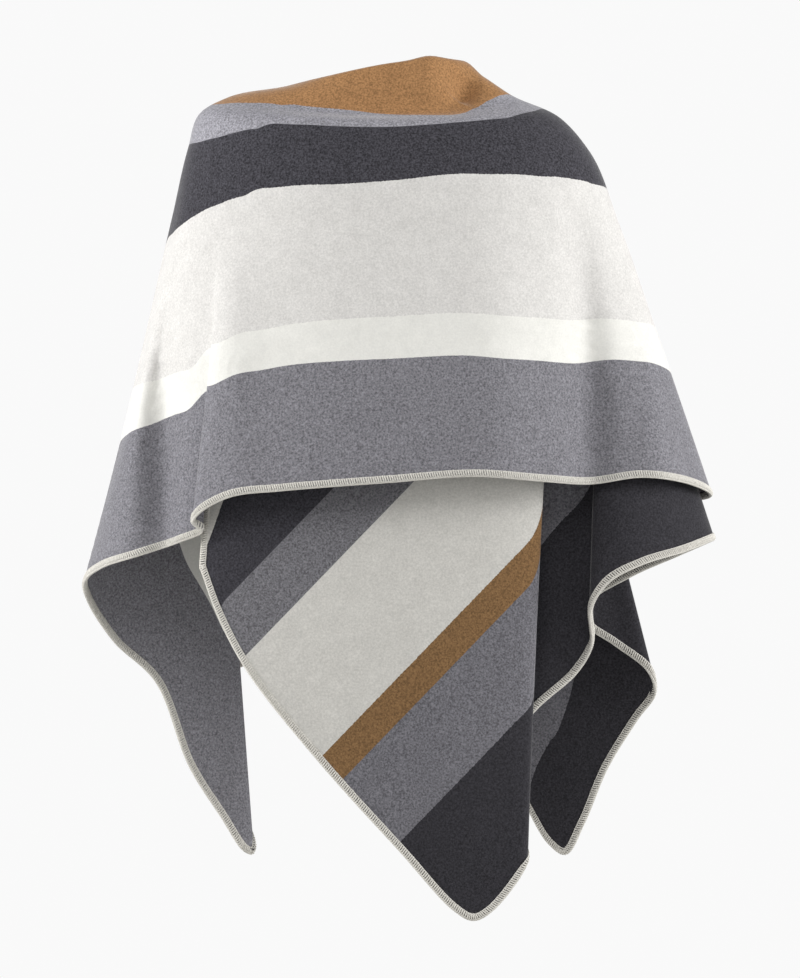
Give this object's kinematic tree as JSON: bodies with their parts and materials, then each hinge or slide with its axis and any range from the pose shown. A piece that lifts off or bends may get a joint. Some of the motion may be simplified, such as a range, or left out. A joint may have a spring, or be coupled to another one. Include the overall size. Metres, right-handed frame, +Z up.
{
  "type": "blanket poncho",
  "caption": "Worn blanket poncho of striped brushed wool cloth, one front thrown across the chest, hanging points before and behind.",
  "frame": {"origin": "midway between the points of the shoulders, where the wearer holds the garment up", "axes": "+Z up, the front faces -Y, the wearer's left side is +X"},
  "size_m": [0.7585, 0.4116, 1.0276],
  "materials": {
    "cloth": "matt brushed double cloth with woven stripes",
    "edge_thread": "matt overlock yarn"
  },
  "bodies": {
    "root": {"under_front": "cloth", "left_arm_drape": "cloth", "left_back_point": "cloth", "right_back_point": "cloth", "thrown_front": "cloth", "thrown_end": "cloth"}
  },
  "joints": []
}
